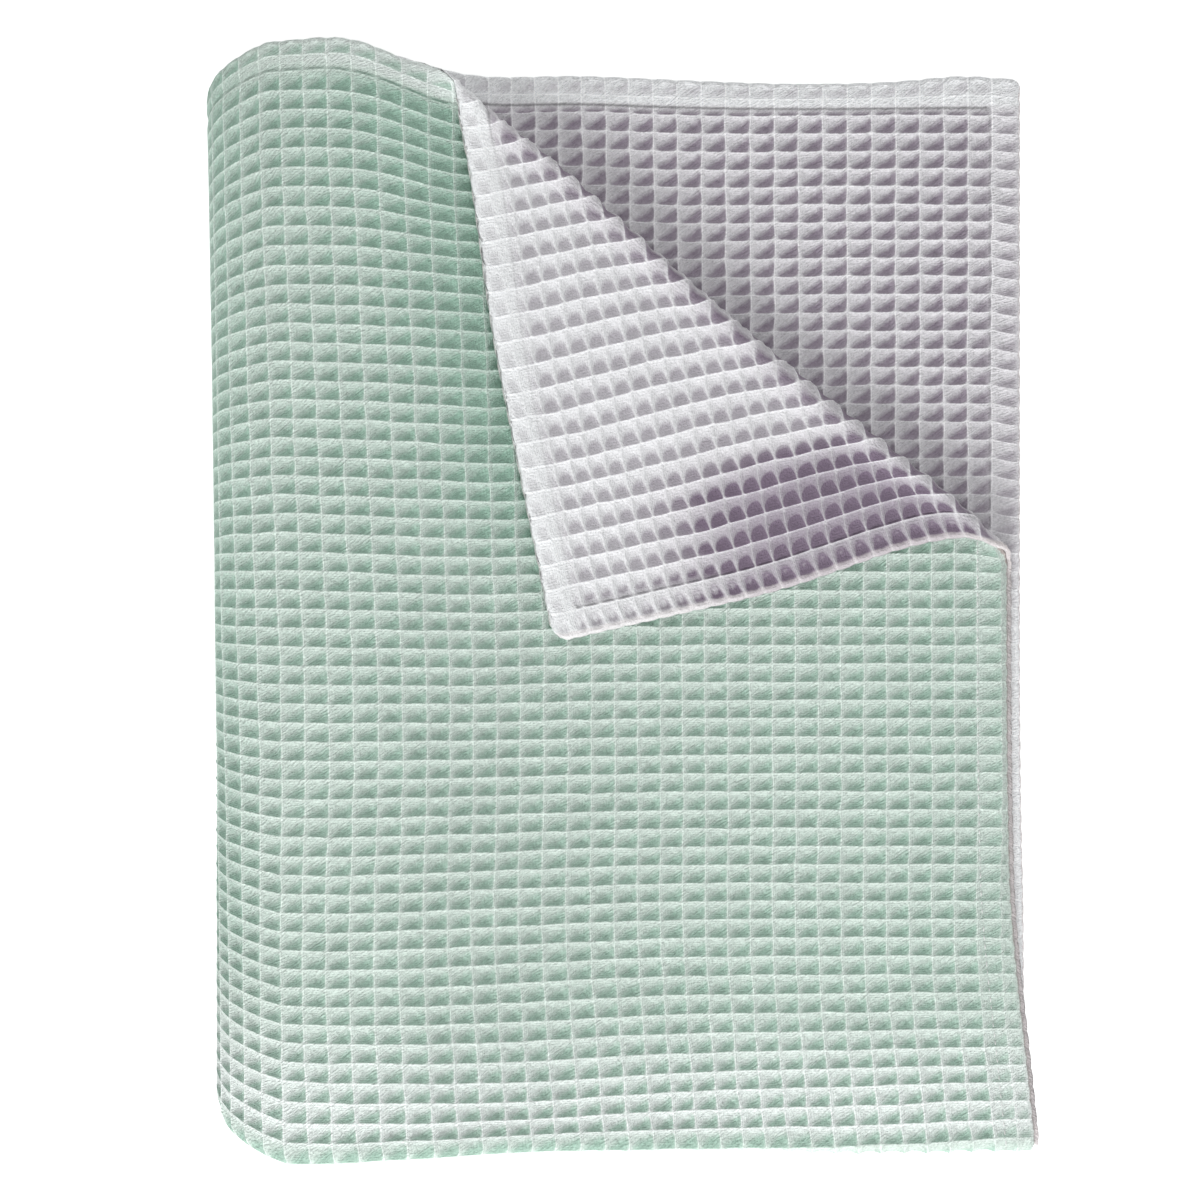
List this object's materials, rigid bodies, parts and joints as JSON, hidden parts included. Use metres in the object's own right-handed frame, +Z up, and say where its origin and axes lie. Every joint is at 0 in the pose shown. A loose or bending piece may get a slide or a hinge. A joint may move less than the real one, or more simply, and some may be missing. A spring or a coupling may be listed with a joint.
{
  "type": "folded waffle weave cotton blanket",
  "caption": "Double-faced waffle weave cotton blanket, folded in quarters with a full roll at the left and a turned back corner.",
  "frame": {"origin": "middle of the folded blanket's footprint, on the surface it lies on", "axes": "+Z up from the surface, +Y along the roll towards the hems and the turned corner, +X from the roll to the free side hems"},
  "size_m": [0.3834, 0.5074, 0.0768],
  "materials": {
    "mint_cloth": "soft matte waffle cotton",
    "pale_cloth": "soft matte waffle cotton"
  },
  "bodies": {
    "root": {"mint_cloth": "mint_cloth", "pale_cloth": "pale_cloth"}
  },
  "joints": []
}
